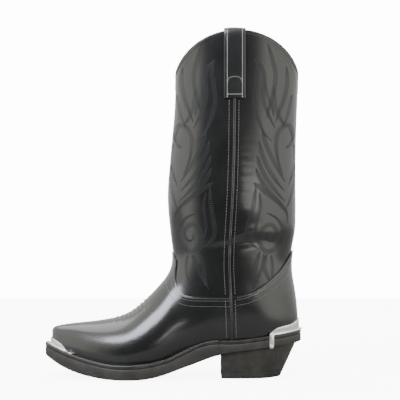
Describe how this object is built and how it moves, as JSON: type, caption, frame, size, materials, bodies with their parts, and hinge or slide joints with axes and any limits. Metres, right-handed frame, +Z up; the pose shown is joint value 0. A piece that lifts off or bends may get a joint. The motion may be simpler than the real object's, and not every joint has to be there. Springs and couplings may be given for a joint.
{
  "type": "cowboy boot",
  "caption": "Black leather pull-on boot with a scalloped collar, pointed toe, underslung heel, pull straps and metal toe and heel guards.",
  "frame": {"origin": "centre of the heel's ground face", "axes": "+Z up, toe towards -X, heel's back towards +X, outer (lateral) side towards -Y"},
  "size_m": [0.2906, 0.0999, 0.3876],
  "materials": {
    "black_leather": "polished smooth black leather with soft gloss",
    "strap_leather": "polished black leather strap with pale stitching",
    "lining": "matt tan lining leather",
    "stiffener": "pressed leather board",
    "insole": "undyed vegetable tanned leather",
    "cork": "granulated cork",
    "welt": "black edge stained leather",
    "sole": "dark stained sole leather, matt at the edge",
    "heel": "dark stained stacked leather, matt",
    "top_lift": "hard black rubber",
    "chrome": "polished plated metal",
    "steel": "plain steel"
  },
  "bodies": {
    "root": {"vamp": "black_leather", "heel_counter_cover": "black_leather", "front_shaft": "black_leather", "back_shaft": "black_leather", "collar_binding": "black_leather", "side_piping_lateral": "black_leather", "side_piping_medial": "black_leather", "pull_strap_lateral": "strap_leather", "pull_strap_medial": "strap_leather", "toe_box": "stiffener", "vamp_interlining": "stiffener", "heel_counter_stiffener": "stiffener", "vamp_lining": "lining", "heel_lining": "lining", "front_shaft_lining": "lining", "back_shaft_lining": "lining", "sock_lining": "lining", "insole": "insole", "cork_filler": "cork", "steel_shank": "steel", "heel_nails": "steel", "welt": "welt", "heel_rand": "welt", "outsole": "sole", "heel_base": "heel", "top_lift": "top_lift", "toe_guard": "chrome", "heel_guard": "chrome", "toe_guard_screws": "chrome", "heel_guard_screws": "chrome"}
  },
  "joints": []
}
